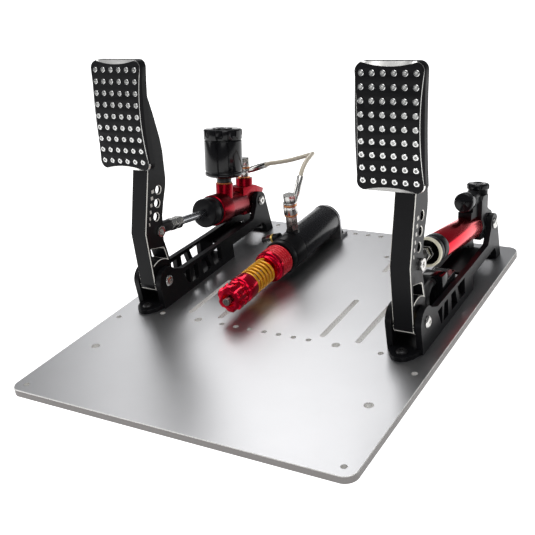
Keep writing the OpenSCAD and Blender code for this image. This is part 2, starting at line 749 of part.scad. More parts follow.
module cylinder_hose_end() hose_end(out_ring, out_dir, out_reach, out_elbow, -line_tilt);
module slave_hose_end() hose_end(in_ring, in_dir, in_reach, in_elbow, 0);

// Route of the hose between its ferrules, chosen by hand: out of the cylinder to the right, over and
// down into the slave
hose_start = out_ring + out_reach[1]*out_dir;
hose_stop = in_ring + [0, in_elbow, 0] + in_reach[1]*in_dir;
hose_middle = [[-114, 203.3, 114.6], [-96, 208.5, 117.3], [-80, 211.5, 121.5], [-68, 209.5, 125.5],
               [-60.5, 206, 128.7], [-55, 199, 131.8], [-52, 187, 132.8], [-51, 175, 131],
               [-51, 167, 127.6]];
hose_route = concat([hose_start, hose_start + 7*out_dir], hose_middle,
                    [hose_stop + 7*in_dir, hose_stop]);

// Sweeps a ten-sided tube along a route, each ring square to the route
module tube_along(route, r) {
  n = len(route);
  sides = 10;
  heading = [for (i = [0:n - 1]) let (
    d = route[min(i + 1, n - 1)] - route[max(i - 1, 0)]) d/norm(d)];
  rings = [for (i = [0:n - 1]) let (
    flat = cross(heading[i], [0, 0, 1]), u = flat/norm(flat), v = cross(u, heading[i]))
    for (k = [0:sides - 1]) route[i] + r*(cos(360*k/sides)*u + sin(360*k/sides)*v)];
  skin = [for (i = [0:n - 2], k = [0:sides - 1]) let (a = i*sides + k, b = i*sides + (k + 1)%sides)
    each [[a, a + sides, b], [b, a + sides, b + sides]]];
  lids = [for (k = [1:sides - 2]) each
    [[0, k, k + 1], [(n - 1)*sides, (n - 1)*sides + k + 1, (n - 1)*sides + k]]];
  polyhedron(rings, concat(skin, lids));
}

module brake_hose() color([0.83, 0.78, 0.70]) tube_along(hose_route, hose_r);

// Slave cylinder, in a frame on its axis whose Y is the plate's own

knob_front = -36;
cup_front = -15;
yellow_front = 5;
spacer_front = 49.5;
red_front = 60;
front_cap_y = 83;
body_y = 116;
piston_y = port_y + 8;
slave_piston_len = 12;
tip_y = -42;

module on_slave() translate([-slave_x, 0, slave_z]) children();

module slave_bracket() color([0.62, 0.62, 0.64]) difference() {
  union() {
    on_slave() {
      round_bar(bracket_y, bracket_y + bracket_t, slave_r + 0.5);
      translate([-slave_r - 0.5, bracket_y, -slave_h]) cube([2*slave_r + 1, bracket_t, slave_h]);
    }
    translate([-slave_x - slave_r - 0.5, bracket_y, plate_t])
      cube([2*slave_r + 1, bracket_t + bracket_foot, floor_t]);
  }
  at_screws(plate_t - 1) cylinder(h = floor_t + 2, r = screw_r + screw_gap);
}

// The inlet boss stands on the body just behind the seam with the front cap
module slave_body() color(black_alu) difference() {
  union() {
    on_slave() round_bar(body_y, bracket_y, slave_r);
    intersection() {
      at_slave_port(0) cylinder(h = slave_port_h, r = adapter_r + 0.3);
      translate([-slave_x - far/2, body_y, slave_z]) cube(far);
    }
  }
  on_slave() round_bar(body_y - 1, bracket_y - 5, slave_bore_r);
  at_slave_port(0) cylinder(h = far, r = port_stub_r + screw_gap);
}

module slave_front_cap() color(black_alu) difference() {
  union() {
    on_slave() turned([[front_cap_y, slave_r - 1], [front_cap_y + 1, slave_r + 0.3],
      [front_cap_y + 7, slave_r + 0.3], [front_cap_y + 7.6, slave_r - 0.8],
      [front_cap_y + 9.4, slave_r - 0.8], [front_cap_y + 10, slave_r + 0.3],
      [body_y - 0.8, slave_r + 0.3], [body_y, slave_r - 0.4]]);
    at_bleeder() translate([0, 0, -9]) cylinder(h = 9, r = bleeder_boss_r);
  }
  on_slave() round_bar(0, body_y + 1, shaft_r + run_gap);
  at_bleeder() translate([0, 0, -6]) cylinder(h = far, r = 3 + screw_gap);
}

bleeder_y = 110;
bleeder_around = 32.6;
bleeder_dip = 15;
bleeder_boss_r = 5.8;

// Puts children on the bleeder's seat at the left of the front cap, +Z outwards and slightly down
module at_bleeder() on_slave()
  translate([-(slave_r + 3.8)*cos(bleeder_around), bleeder_y, (slave_r + 3.8)*sin(bleeder_around)])
    rotate([0, -90 - bleeder_dip, 0]) children();

module slave_bleeder() color([0.82, 0.60, 0.25]) at_bleeder() {
  translate([0, 0, -5]) cylinder(h = 6, r = 3);
  cylinder(h = 3, r = 6.1);
  translate([0, 0, 2.9]) cylinder(h = 7.1, r = 5.6, $fn = 6);
  translate([0, 0, 9.9]) cylinder(h = 8, r = 3.9);
}

module slave_shaft() color([0.45, 0.43, 0.40]) on_slave() {
  round_bar(tip_y, piston_y + 1, shaft_r);
  round_bar(piston_y, piston_y + slave_piston_len, slave_bore_r - run_gap);
}

module red_spring() color([0.85, 0.05, 0.12]) on_slave() translate([0, red_front + seat_gap, 0])
  coil(front_cap_y - red_front - 2*seat_gap, red_coil_r, red_wire, 4.5);

module yellow_spring() color([0.92, 0.66, 0.08]) on_slave() translate([0, yellow_front + seat_gap, 0])
  coil(spacer_front - yellow_front - 2*seat_gap, yellow_coil_r, yellow_wire, 6);

// Free radius inside a coil whose turns have eight rings
function spring_bore(outer, wire) = (outer - wire/2)*cos(22.5) - wire/2;

module spring_spacer() color(red_alu) on_slave() difference() {
  union() {
    turned([[spacer_front, yellow_coil_r], [spacer_front + 4.5, yellow_coil_r + 0.6],
            [spacer_front + 5.5, red_coil_r - 0.6], [red_front, red_coil_r - 0.2]]);
    round_bar(spacer_front - 8, spacer_front + 1, spring_bore(yellow_coil_r, yellow_wire) - 0.5);
    round_bar(red_front - 1, red_front + 8, spring_bore(red_coil_r, red_wire) - 0.5);
  }
  round_bar(spacer_front - 9, red_front + 9, shaft_r + run_gap);
}

module spring_cup() color(red_alu) on_slave() difference() {
  turned([[cup_front, yellow_coil_r - 2], [cup_front + 1.5, yellow_coil_r - 2],
          [cup_front + 3, yellow_coil_r - 0.5], [cup_front + 4, yellow_coil_r + 0.4],
          [yellow_front, yellow_coil_r + 0.4]]);
  round_bar(cup_front - 1, yellow_front + 1, shaft_r + run_gap);
}

knob_lobes = 6;
knob_waist = knob_front + 11;

module preload_knob() color(red_alu) on_slave() difference() {
  turned([[knob_front, knob_r - 2], [knob_front + 1.5, knob_r], [knob_waist - 1, knob_r],
          [knob_waist, knob_r - 2.5], [knob_waist + 2, knob_r - 2.5], [knob_waist + 3, knob_r],
          [cup_front - 2, knob_r], [cup_front - side_gap, knob_r - 1.5]]);
  for (i = [0:knob_lobes - 1]) rotate([0, (i + 0.5)*360/knob_lobes, 0])
    translate([0, 0, knob_r + 2.6]) round_bar(knob_front - 1, cup_front + 1, 6);
  round_bar(knob_front - 1, cup_front + 1, shaft_r + run_gap);
  round_bar(knob_front - 1, knob_front + 5, shaft_r + 3.5);
}

// Throttle damper

rim_front = span - 171;
head_front = span - 167;
tube_front = span - 144;
head_floor = tube_front - 2;
head_bore_r = 13.5;
sleeve_r = tube_r + 0.6;
block_front = span - 28;
block_back = span - 6;
block_top = 40;
damper_piston_s = tube_front + 12;
damper_piston_len = 10;
adj_s = span - 58.8;
adj_h = tube_r + adj_r + 6.8;
adj_len = 12;
dcap_s = span - 6.6;
dcap_h = 7;
dcap_neck_r = 11.6;

module damper_rod() color(steel) on_line(THROTTLE) {
  round_bar(rod_start, damper_piston_s + 1, rod_r);
  round_bar(damper_piston_s, damper_piston_s + damper_piston_len, tube_r - tube_wall - run_gap);
}

module damper_rim() color([0.86, 0.83, 0.72]) on_line(THROTTLE) difference() {
  turned([[rim_front, rim_r - 0.8], [rim_front + 0.8, rim_r], [head_front, rim_r]]);
  round_bar(rim_front - 1, head_front + 1, head_bore_r);
}

// Hollow, so that the rod's nuts can run into it
module damper_head() color(black_alu) on_line(THROTTLE) difference() {
  union() {
    turned([[head_front, sleeve_r], [head_front + 8, sleeve_r], [head_front + 8.6, sleeve_r - 1],
            [head_front + 11, sleeve_r - 1], [head_front + 11.6, sleeve_r], [tube_front, sleeve_r]]);
    round_bar(tube_front - 1, tube_front + 8, tube_r - tube_wall - run_gap);
  }
  round_bar(0, tube_front + 9, rod_r + run_gap);
  round_bar(head_front - 1, head_floor, head_bore_r);
}

module damper_tube() color(red_alu) on_line(THROTTLE) difference() {
  round_bar(tube_front, block_front, tube_r);
  round_bar(tube_front - 1, block_front + 1, tube_r - tube_wall);
}

module damper_spring() color(steel) on_line(THROTTLE)
  translate([0, damper_piston_s + damper_piston_len + seat_gap, 0])
    coil(block_front - damper_piston_s - damper_piston_len - 2*seat_gap, tube_r - tube_wall - 0.8, 2, 8);

module damper_block() color(black_alu) on_line(THROTTLE) difference() {
  union() {
    side_plate(lug_w) polygon([[block_front, -lug_r], [block_front, block_top - 9],
      [block_front + 5, block_top - 4], [block_back, block_top - 4], [block_back, 20],
      [span + 12, 10.5], [span + lug_r - 2, 6], [span + 4, -lug_r + 0.5]]);
    translate([-lug_w/2, span, 0]) rotate([0, 90, 0]) cylinder(h = lug_w, r = lug_r);
    round_bar(block_front, block_front + 5, tube_r);
    translate([0, 0, adj_h]) round_bar(adj_s + adj_len + side_gap, block_front + 1, adj_r - 1.5);
    side_plate(16) polygon([[adj_s + 7, tube_r - 4], [adj_s + 7, adj_h - adj_r - 1.2],
      [adj_s + adj_len + side_gap, adj_h - adj_r - 1.2], [adj_s + adj_len + side_gap, adj_h],
      [block_front + 1, adj_h], [block_front + 1, tube_r - 4]]);
    translate([0, dcap_s, 10]) cylinder(h = block_top - 10 + 1, r = dcap_neck_r);
  }
  round_bar(0, block_front, tube_r + run_gap);
  translate([-far, span, 0]) rotate([0, 90, 0]) cylinder(h = 2*far, r = axle_r + run_gap);
  translate([0, dcap_s, block_top - 7]) cylinder(h = far, r = 5 + run_gap);
  translate([0, 0, adj_h]) round_bar(0, adj_s + adj_len + 9, 3 + run_gap);
  // The ears stand either side of the lug, so nothing wider than it reaches back that far
  for (side = [-1, 1]) translate([side*(lug_w/2 + far/2), span - ear_r - 6 + far, -far/2])
    cube([far, 2*far, far + 2*ear_r], center = true);
}

module damper_cap() color(black_alu) on_line(THROTTLE) translate([0, dcap_s, block_top + 1]) difference() {
  union() {
    translate([0, 0, side_gap]) rotate_extrude() polygon([[0, 0], [dcap_r - 1, 0], [dcap_r, 1],
      [dcap_r, dcap_h - 1.5], [dcap_r - 1.5, dcap_h], [7, dcap_h], [6, dcap_h - 0.8], [0, dcap_h - 0.8]]);
    translate([0, 0, -7]) cylinder(h = 8, r = 5);
  }
  for (i = [0:5]) rotate([0, 0, i*60]) translate([dcap_r + 1.2, 0, 2]) cylinder(h = far, r = 2.4);
}

module damper_knob() color(black_alu) on_line(THROTTLE) translate([0, adj_s, adj_h]) difference() {
  union() {
    turned([[0, adj_r - 1], [1, adj_r], [adj_len, adj_r]]);
    round_bar(adj_len - 1, adj_len + 8, 3);
    round_bar(-1.2, 1, 2.8);
  }
  rotate([-90, 0, 0]) translate([0, 0, -2]) cylinder(h = 2.2, r = 1.5, $fn = 6);
}

// Throttle position sensor, inside the channel of the throttle base

box_w = gap_w - 2;
box_front = 67.5;
box_step = 84;
box_back = 108;
box_high = 50;
box_low = 40;
box_floor = floor_t - pivot_h;

module sensor_box() color([0.05, 0.05, 0.055]) at_pivot(THROTTLE) side_plate(box_w)
  polygon([[box_front, box_floor], [box_back, box_floor], [box_back, box_low - pivot_h],
           [box_step, box_low - pivot_h], [box_step - 2, box_high - pivot_h],
           [box_front, box_high - pivot_h]]);

lead_r = 4;
lead_bend = 14;
lead_z = box_high - 7 - pivot_h;
lead_run = 7;
lead_rib = 0.8;

// Corrugated sleeve that leaves the sensor box forwards and turns down to the floor
module sensor_lead() color(black_alu) at_pivot(THROTTLE) {
  drop = lead_z - lead_bend - box_floor;
  translate([0, box_front - lead_run, lead_z]) rotate([-90, 0, 0]) {
    cylinder(h = lead_run, r = lead_r);
    for (z = [1.5, 4.5]) translate([0, 0, z]) cylinder(h = 1.2, r = lead_r + lead_rib);
  }
  translate([0, box_front - lead_run, lead_z - lead_bend]) rotate([90, 0, -90])
    rotate_extrude(angle = 90) translate([lead_bend, 0]) circle(lead_r);
  translate([0, box_front - lead_run - lead_bend, box_floor]) {
    cylinder(h = drop, r = lead_r);
    for (i = [0:4]) translate([0, 0, 2 + i*3]) cylinder(h = 1.2, r = lead_r + lead_rib);
  }
}

base_plate();
base_screws();
base(BRAKE);  // brake_base
base(THROTTLE);  // throttle_base
pivot_axles();
pivot_screws();
pivot_bushes();
arm(BRAKE);  // brake_arm
arm(THROTTLE);  // throttle_arm
pad(BRAKE);  // brake_pad
pad(THROTTLE);  // throttle_pad
pad_studs(BRAKE);  // brake_pad_studs
pad_studs(THROTTLE);  // throttle_pad_studs
pad_screws(BRAKE);  // brake_pad_screws
pad_screws(THROTTLE);  // throttle_pad_screws
push_bolt(BRAKE);  // brake_push_bolt
push_bolt(THROTTLE);  // throttle_push_bolt
rod_end(BRAKE);  // brake_rod_end
rod_end(THROTTLE);  // throttle_rod_end
rod_ball(BRAKE);  // brake_rod_ball
rod_ball(THROTTLE);  // throttle_rod_ball
rod_nuts(BRAKE);  // brake_rod_nuts
rod_nuts(THROTTLE);  // throttle_rod_nuts
brake_push_rod();
cylinder_boot();
cylinder_body();
cylinder_piston();
cylinder_spring();
reservoir_seal();
reservoir_adapter();
reservoir();
reservoir_cap();
cylinder_banjo_bolt();
cylinder_copper_washers();
cylinder_hose_end();
brake_hose();
slave_hose_end();
slave_banjo_bolt();
slave_copper_washers();
slave_adapter();
slave_bracket();
slave_body();
slave_front_cap();
slave_shaft();
red_spring();
spring_spacer();
yellow_spring();
spring_cup();
preload_knob();
slave_bleeder();
damper_rod();
damper_rim();
damper_head();
damper_tube();
damper_spring();
damper_block();
damper_cap();
damper_knob();
sensor_box();
sensor_lead();
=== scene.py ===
# Two-pedal set for a driving simulator on its slotted plate: a hydraulic brake on the left, a damped
# throttle on the right and a spring-loaded slave cylinder between them. Metres, as in the frame.
import json
import math

import bpy
from mathutils import Matrix, Vector


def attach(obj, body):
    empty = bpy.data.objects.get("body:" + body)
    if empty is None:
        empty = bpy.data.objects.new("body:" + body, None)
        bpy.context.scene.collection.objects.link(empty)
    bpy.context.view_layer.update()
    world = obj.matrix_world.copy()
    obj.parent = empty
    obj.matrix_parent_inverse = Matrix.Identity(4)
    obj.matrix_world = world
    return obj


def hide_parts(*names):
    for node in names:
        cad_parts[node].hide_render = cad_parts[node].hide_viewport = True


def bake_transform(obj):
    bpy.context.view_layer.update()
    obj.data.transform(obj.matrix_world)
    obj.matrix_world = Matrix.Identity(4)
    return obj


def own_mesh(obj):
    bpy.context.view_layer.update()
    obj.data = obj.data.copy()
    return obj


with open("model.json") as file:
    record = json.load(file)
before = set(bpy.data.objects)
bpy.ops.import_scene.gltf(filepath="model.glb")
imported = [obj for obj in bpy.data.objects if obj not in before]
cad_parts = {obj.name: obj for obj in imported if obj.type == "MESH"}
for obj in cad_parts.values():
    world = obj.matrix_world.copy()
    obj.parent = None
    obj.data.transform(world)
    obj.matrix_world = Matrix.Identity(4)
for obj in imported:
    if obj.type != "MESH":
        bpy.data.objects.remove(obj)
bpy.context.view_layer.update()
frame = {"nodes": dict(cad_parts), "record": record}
body_of = {n: b for b, names in frame["record"]["behaviour"]["bodies"].items() for n in names}

# Camera
# Solved from the plate's edges and the pads' studs, so the render lies over the photograph.
# A little roll is kept, because the photograph has it.
azimuth, pitch, roll = math.radians(33.36), math.radians(24.5), math.radians(-7.22)
right = Vector((math.cos(azimuth), math.sin(azimuth), 0))
ahead = Vector((-math.sin(azimuth)*math.cos(pitch), math.cos(azimuth)*math.cos(pitch), -math.sin(pitch)))
above = right.cross(ahead)
side = math.cos(roll)*right + math.sin(roll)*above
top = -math.sin(roll)*right + math.cos(roll)*above
eye = Vector((0.4912, -0.7710, 0.4841))
lens = bpy.data.cameras.new("Camera")
lens.sensor_width, lens.lens = 36, 59.57
camera = bpy.data.objects.new("Camera", lens)
bpy.context.scene.collection.objects.link(camera)
camera.matrix_world = Matrix((
    (side.x, top.x, -ahead.x, eye.x), (side.y, top.y, -ahead.y, eye.y),
    (side.z, top.z, -ahead.z, eye.z), (0, 0, 0, 1)))
bpy.context.scene.camera = camera

# Floor and light
# A plain white floor, one large soft box behind the set whose reflection lies on the front of the plate,
# one from the left for the edges, one above, and a soft fill from the camera's side. A dimmer sheet under
# the plate is a painted shadow: in place of the floor's glow, it stands in for the plate's shadow on the
# floor, seen through its slots and holes.
bpy.ops.mesh.primitive_plane_add(size=24, location=(0, 0, -0.0006))
floor = bpy.context.object
floor.name = "studio_floor"
paper = bpy.data.materials.new("White paper floor")
paper.use_nodes = True
paper_shader = paper.node_tree.nodes["Principled BSDF"]
paper_shader.inputs["Base Color"].default_value = (0.92, 0.92, 0.92, 1)
paper_shader.inputs["Roughness"].default_value = 0.9
paper_shader.inputs["Specular IOR Level"].default_value = 0.1
paper_shader.inputs["Emission Color"].default_value = (1, 1, 1, 1)
paper_shader.inputs["Emission Strength"].default_value = 0.85
floor.data.materials.append(paper)
# Painted shadow: a sheet with a weak glow and greyer paper than the floor, laid under the plate where its
# shadow falls.
bpy.ops.mesh.primitive_plane_add(size=1, location=(0, 0, -0.0003))
painted_shadow_sheet = bpy.context.object
painted_shadow_sheet.scale = (0.394, 0.480, 1)
painted_shadow_sheet.name = "painted_shadow_under_plate"
bpy.ops.object.transform_apply(location=True, rotation=True, scale=True)
painted_shadow_paper = paper.copy()
painted_shadow_paper.name = "Paper dimmed as painted shadow of the plate"
painted_shadow_shader = painted_shadow_paper.node_tree.nodes["Principled BSDF"]
painted_shadow_shader.inputs["Emission Strength"].default_value = 0.15
painted_shadow_shader.inputs["Base Color"].default_value = (0.85, 0.85, 0.85, 1)
painted_shadow_sheet.data.materials.append(painted_shadow_paper)


def soft_box(name, place, aim, width, height, power):
    """A rectangular light turned towards a point"""
    data = bpy.data.lights.new(name, "AREA")
    data.shape = "RECTANGLE"
    data.size, data.size_y, data.energy = width, height, power
    lamp = bpy.data.objects.new(name, data)
    bpy.context.scene.collection.objects.link(lamp)
    lamp.location = place
    lamp.rotation_euler = (Vector(aim) - Vector(place)).to_track_quat("-Z", "Y").to_euler()


soft_box("Back soft box", (-1.5, 2.1, 2.3), (0, -0.1, 0), 1.7, 1.8, 27)
soft_box("Left soft box", (-2.4, -0.8, 1.3), (0, 0, 0.15), 1.6, 1.6, 20)
soft_box("Top soft box", (0.3, -0.2, 2.4), (0, 0, 0), 1.8, 1.8, 22)
soft_box("Front fill", (1.6, -2.2, 1.5), (0, 0, 0.1), 1.6, 1.2, 7)
world = bpy.data.worlds.new("Studio")
world.use_nodes = True
world.node_tree.nodes["Background"].inputs["Color"].default_value = (0.95, 0.97, 1.0, 1)
world.node_tree.nodes["Background"].inputs["Strength"].default_value = 0.16
bpy.context.scene.world = world
bpy.context.scene.view_settings.view_transform = "Standard"


# Base plate
# A sawn and milled aluminium plate, blasted to an even silver grey and clear anodised. Its edges are
# broken with a small bright chamfer, and its sawn outer sides are darkened with painted shade.
def metal_finish(name, colour, rough, metal=1.0, grain=900, depth=0.02, patch=0.06, coat=0.0, mirror=0.5):
    """A metal or plastic surface: fine grain in its bump and gloss, slow patches in its colour"""
    made = bpy.data.materials.new(name)
    made.use_nodes = True
    nodes, links = made.node_tree.nodes, made.node_tree.links
    shader = nodes["Principled BSDF"]
    shader.inputs["Metallic"].default_value = metal
    shader.inputs["Specular IOR Level"].default_value = mirror
    shader.inputs["Coat Weight"].default_value = coat
    shader.inputs["Coat Roughness"].default_value = 0.12
    place = nodes.new("ShaderNodeTexCoord")
    fine = nodes.new("ShaderNodeTexNoise")
    fine.inputs["Scale"].default_value = grain
    fine.inputs["Detail"].default_value = 4
    links.new(place.outputs["Object"], fine.inputs["Vector"])
    slow = nodes.new("ShaderNodeTexNoise")
    slow.inputs["Scale"].default_value = 28
    slow.inputs["Detail"].default_value = 3
    links.new(place.outputs["Object"], slow.inputs["Vector"])
    gloss = nodes.new("ShaderNodeMapRange")
    gloss.inputs["From Min"].default_value, gloss.inputs["From Max"].default_value = 0.3, 0.7
    gloss.inputs["To Min"].default_value, gloss.inputs["To Max"].default_value = rough*0.85, rough*1.15
    links.new(fine.outputs["Fac"], gloss.inputs["Value"])
    links.new(gloss.outputs["Result"], shader.inputs["Roughness"])
    shade = nodes.new("ShaderNodeMix")
    shade.data_type = "RGBA"
    shade.inputs[6].default_value = [c*(1 - patch) for c in colour] + [1]
    shade.inputs[7].default_value = [min(1, c*(1 + patch)) for c in colour] + [1]
    links.new(slow.outputs["Fac"], shade.inputs[0])
    links.new(shade.outputs[2], shader.inputs["Base Color"])
    bump = nodes.new("ShaderNodeBump")
    bump.inputs["Strength"].default_value = depth
    bump.inputs["Distance"].default_value = 0.0002
    links.new(fine.outputs["Fac"], bump.inputs["Height"])
    links.new(bump.outputs["Normal"], shader.inputs["Normal"])
    return made


def machined(node, width, face, rim=None, segments=1, clamp=True):
    """A copy of a CAD piece with its doubles merged and its cut edges, if they have a width, broken"""
    bpy.ops.object.select_all(action="DESELECT")
    piece = bpy.data.objects.new(node + "_machined", frame["nodes"][node].data.copy())
    bpy.context.scene.collection.objects.link(piece)
    bpy.context.view_layer.objects.active = piece
    piece.select_set(True)
    piece.data.materials.clear()
    piece.data.materials.append(face)
    if rim:
        piece.data.materials.append(rim)
    bpy.ops.object.mode_set(mode="EDIT")
    bpy.ops.mesh.select_all(action="SELECT")
    bpy.ops.mesh.remove_doubles(threshold=0.000004)
    if width:
        bpy.ops.mesh.dissolve_limited(angle_limit=0.01)
    bpy.ops.object.mode_set(mode="OBJECT")
    for polygon in piece.data.polygons:
        polygon.material_index = 0
    if width:
        bevel = piece.modifiers.new("Broken edges", "BEVEL")
        bevel.width = width
        bevel.segments = segments
        bevel.limit_method = "ANGLE"
        bevel.angle_limit = math.radians(32)
        bevel.use_clamp_overlap = clamp
        bevel.material = 1 if rim else -1
        bpy.ops.object.modifier_apply(modifier=bevel.name)
        bpy.ops.object.shade_smooth_by_angle(angle=math.radians(28))
    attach(piece, body_of[node])
    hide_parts(node)
    return piece


def coat_node(node, finish):
    """Gives a CAD piece that is shown as it is its finish"""
    solid = frame["nodes"][node]
    solid.data.materials.clear()
    solid.data.materials.append(finish)


blasted = metal_finish("Blasted clear aluminium", (0.50, 0.50, 0.51), 0.38, grain=1600, depth=0.05,
                       patch=0.03)
bright_edge = metal_finish("Bright milled edge", (0.88, 0.87, 0.85), 0.30, metal=0.45, grain=700,
                           depth=0.01)
# Painted shade: the plate's outer sides get a dark grey that stands in for the shade on them, not the
# metal's own colour.
sawn_edge_painted_shade = metal_finish("Sawn edge darkened as painted shade", (0.20, 0.19, 0.185), 0.45, grain=600, depth=0.06)
plate = machined("base_plate", 0, blasted, bright_edge)
plate.data.materials.append(sawn_edge_painted_shade)
inner_x = max(corner[0] for corner in plate.bound_box) - 0.005
inner_y = max(corner[1] for corner in plate.bound_box) - 0.005
chamfer_low, chamfer_high = 0.0066, 0.0079
for polygon in plate.data.polygons:
    polygon.use_smooth = False
    across, along, high = polygon.center
    if chamfer_low < high < chamfer_high:
        polygon.material_index = 1
    elif abs(polygon.normal.z) > 0.9:
        polygon.material_index = 0
    else:
        # Outer side faces take the painted shade; slot and hole walls take the bright milled edge.
        polygon.material_index = 1 if abs(across) < inner_x and abs(along) < inner_y else 2

# Screws of the bases and of the bracket
# Black button-head screws with a hexagon socket.
black_steel = metal_finish("Blackened steel", (0.03, 0.029, 0.03), 0.30, metal=0.5, grain=1200,
                           depth=0.03, mirror=0.3)
machined("base_screws", 0.00025, black_steel, segments=2)

# Bases
# Two channels milled from solid aluminium and anodised black, with their edges broken. The floor
# between the rear bars is 8 mm too low in the solids, so here it is raised to the bars' lower edge
# and its sides end at the bars.
black_anodised = metal_finish("Black anodised aluminium", (0.006, 0.006, 0.007), 0.34, metal=0.0,
                              grain=1500, depth=0.05, patch=0.2, mirror=0.14)
unit_x = 0.165
floor_low, floor_high, floor_front, floor_back = 0.0168, 0.0212, 0.1165, 0.1868
floor_rise, floor_half, gap_half = 0.008, 0.0146, 0.01302
for node, middle in (("brake_base", -unit_x), ("throttle_base", unit_x)):
    channel = machined(node, 0.0004, black_anodised, black_steel)
    for corner in channel.data.vertices:
        across, along, high = corner.co
        off_middle = across - middle
        if (floor_low < high < floor_high and abs(off_middle) < floor_half
                and floor_front < along < floor_back):
            corner.co.z = high + floor_rise
            corner.co.x = middle + max(-gap_half, min(gap_half, off_middle))

# Pivot axles, their screws and the bronze bushes
# Ground pins held by a wide low button-head screw at each end, on which the arms turn.
zinc = metal_finish("Bright zinc", (0.62, 0.61, 0.59), 0.20, grain=800, depth=0.01)
bronze = metal_finish("Bearing bronze", (0.46, 0.34, 0.17), 0.38, grain=900, depth=0.05)
machined("pivot_screws", 0.00025, zinc, segments=2)
coat_node("pivot_axles", zinc)
coat_node("pivot_bushes", bronze)

# Arms
# Plates milled from thick aluminium, anodised black, with a polished chamfer round the whole outline
# and round the window and the spare holes.
arm_edge = metal_finish("Polished chamfer of the arms", (0.95, 0.92, 0.85), 0.40, metal=0.1, grain=700,
                        depth=0.01)
for node in ("brake_arm", "throttle_arm"):
    machined(node, 0.0007, black_anodised, arm_edge, clamp=False)

# Marks beside the spare holes
# Six small squares, each narrower than the one above, cut through the black on the arm's right face.
mark_places = [(-0.0137, 0.1495), (-0.0172, 0.1423), (-0.0205, 0.1348), (-0.0239, 0.1274),
               (-0.0269, 0.1202), (-0.0296, 0.1140)]
cut_bright = metal_finish("Cut through the black", (0.62, 0.60, 0.56), 0.45, metal=0.2, grain=1400,
                          depth=0.03)
for body, middle in (("brake_pedal", -unit_x), ("throttle_pedal", unit_x)):
    bpy.ops.object.select_all(action="DESELECT")
    squares = []
    for step, (y, z) in enumerate(mark_places):
        bpy.ops.mesh.primitive_cube_add(size=1, location=(middle + 0.01128, y, z),
                                        scale=(0.00012, 0.0048 - 0.0006*step, 0.0040))
        squares.append(bpy.context.object)
    for square in squares:
        square.select_set(True)
    bpy.ops.object.join()
    marks = bpy.context.object
    marks.name = body + "_marks"
    bpy.ops.object.transform_apply(location=True, rotation=True, scale=True)
    marks.data.materials.append(cut_bright)
    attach(marks, body)

# Pads
# Thick aluminium pads with a crowned face, anodised black. The four sides of the face are scalloped,
# and a polished slope runs from the scalloped edge down to the straight outline.
pad_black = metal_finish("Black pad face", (0.005, 0.005, 0.006), 0.45, metal=0.0, grain=1400,
                         depth=0.08, mirror=0.15)
polished = metal_finish("Polished slope", (0.92, 0.91, 0.88), 0.24, metal=0.6, grain=600, depth=0.005)
pad_w, pad_h, pad_corner, pad_scallop, crown_r = 0.0715, 0.125, 0.009, 0.0032, 0.470
pad_lean = math.radians(6.9)
side_steps, corner_steps = 24, 9
slope_foot, bright_width = 0.0030, 0.0007


def pad_outline(inset, scallop):
    """Points round a pad: straight sides drawn in by a scallop, and round corners"""
    w, h, r = pad_w/2 - inset, pad_h/2 - inset, pad_corner - inset
    points = []
    for quarter in range(4):
        turn = math.radians(90*quarter)
        a, b = (w, h) if quarter % 2 == 0 else (h, w)
        depth = scallop if quarter % 2 == 0 else scallop*1.25
        half = b*0.86 if quarter % 2 == 0 else b*0.80
        bow = (half*half + depth*depth)/(2*depth) if depth else 0
        straight = []
        for i in range(side_steps + 1):
            v = -(b - r) + 2*(b - r)*i/side_steps
            dip = max(0.0, depth - (bow - math.sqrt(max(0.0, bow*bow - v*v)))) if depth else 0.0
            straight.append((a - dip, v))
        corner = [(a - r + r*math.cos(t), b - r + r*math.sin(t))
                  for t in (math.radians(90*k/corner_steps) for k in range(1, corner_steps))]
        for x, z in straight + corner:
            points.append((x*math.cos(turn) - z*math.sin(turn), x*math.sin(turn) + z*math.cos(turn)))
    return points


def in_pad(middle, x, z, depth):
    """A point of the pad's own frame, a given depth below its crowned face, in the row frame"""
    y = crown_r - math.sqrt((crown_r - depth)**2 - z*z)
    return (middle - 0.0112 + x + 0.0005,
            -0.0235 - 0.001 + y*math.cos(pad_lean) + z*math.sin(pad_lean),
            0.0395 + 0.2028 - y*math.sin(pad_lean) + z*math.cos(pad_lean))


def solid_skin(name, rows, faces, smooth):
    """A new object from rows of points, its faces turned outwards and smooth below an angle"""
    mesh = bpy.data.meshes.new(name)
    mesh.from_pydata(rows, [], faces)
    skin = bpy.data.objects.new(name, mesh)
    bpy.context.scene.collection.objects.link(skin)
    bpy.ops.object.select_all(action="DESELECT")
    bpy.context.view_layer.objects.active = skin
    skin.select_set(True)
    bpy.ops.object.mode_set(mode="EDIT")
    bpy.ops.mesh.select_all(action="SELECT")
    bpy.ops.mesh.normals_make_consistent(inside=False)
    bpy.ops.object.mode_set(mode="OBJECT")
    bpy.ops.object.shade_smooth_by_angle(angle=math.radians(smooth))
    return skin


